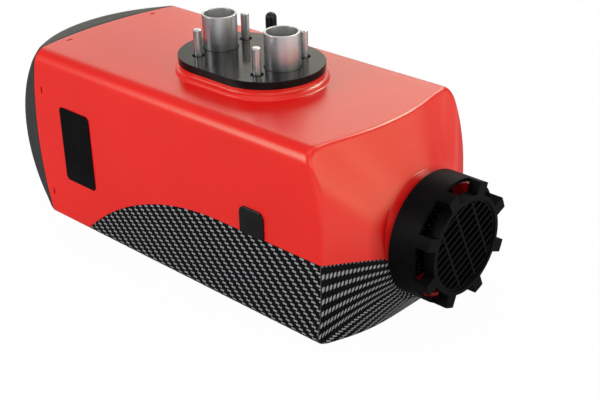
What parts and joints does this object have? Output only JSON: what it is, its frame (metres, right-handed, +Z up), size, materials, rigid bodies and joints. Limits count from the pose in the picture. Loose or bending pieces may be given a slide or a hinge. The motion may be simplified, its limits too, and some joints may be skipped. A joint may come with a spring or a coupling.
{
  "type": "diesel air heater",
  "caption": "Diesel air heater: glossy red moulded casing with a carbon-look lower cover, grilled intake cap, toothed slatted outlet hood and a flange with pipes and studs on top.",
  "frame": {"origin": "middle of the underside, below the middle of the whole length", "axes": "+X towards the warm-air outlet, +Z up towards the flange, +Y to the left when looking along +X; the rating plate is on the -Y side"},
  "size_m": [0.39, 0.1478, 0.1749],
  "materials": {
    "red_casing": "high gloss",
    "carbon_look": "gloss over a woven print",
    "dark_cap": "satin",
    "black_plastic": "matt",
    "black_plate": "gloss black",
    "pipe_metal": "brushed",
    "cast_metal": "as cast",
    "steel": "bright zinc",
    "heat_steel": "heat-tinted",
    "ceramic": "fired",
    "black_rubber": "soft matt",
    "gasket_sheet": "matt fibre sheet",
    "magnet": "sintered",
    "copper": "enamelled winding",
    "label_black": "satin foil",
    "board_case": "satin"
  },
  "bodies": {
    "heater": {"main_casing": "red_casing", "lower_casing": "carbon_look", "intake_cap": "dark_cap", "intake_grille": "black_plastic", "flange_plate": "black_plate", "flange_studs": "steel", "combustion_air_pipe": "pipe_metal", "exhaust_pipe": "pipe_metal", "fuel_pipe": "steel", "rating_plate": "label_black", "harness_plug": "black_rubber", "harness_grommet": "black_rubber", "heat_exchanger": "cast_metal", "flame_tube": "heat_steel", "burner_head": "cast_metal", "evaporator": "heat_steel", "glow_pin": "ceramic", "glow_pin_seal": "gasket_sheet", "overheat_sensor": "board_case", "sensor_clip": "steel", "blower_housing": "cast_metal", "blower_plate": "cast_metal", "blower_gasket": "gasket_sheet", "blower_screws": "steel", "motor_can": "steel", "motor_magnets": "magnet", "motor_end_cap": "black_plastic", "motor_bearings": "steel", "brush_pair": "magnet", "control_unit": "board_case", "control_unit_screws": "steel"},
    "rotor": {"motor_shaft": "steel", "armature": "copper", "air_fan": "black_plastic", "fan_magnet": "magnet", "combustion_wheel": "cast_metal"},
    "outlet": {"outlet_hood": "black_plastic", "outlet_louvre": "black_plastic"},
    "fuel_cap": {"fuel_pipe_cap": "black_rubber"}
  },
  "joints": [
    {"name": "rotor_spin", "type": "hinge", "parent": "heater", "child": "rotor", "pos_m": [-0.12, 0, 0.0666], "axis": [1, 0, 0], "continuous": true},
    {"name": "outlet_hood_turn", "type": "hinge", "parent": "heater", "child": "outlet", "pos_m": [0.18, 0, 0.0666], "axis": [1, 0, 0], "continuous": true},
    {"name": "fuel_cap_pull", "type": "slide", "parent": "heater", "child": "fuel_cap", "axis": [0, 0, 1], "range_m": [0, 0.03]}
  ]
}
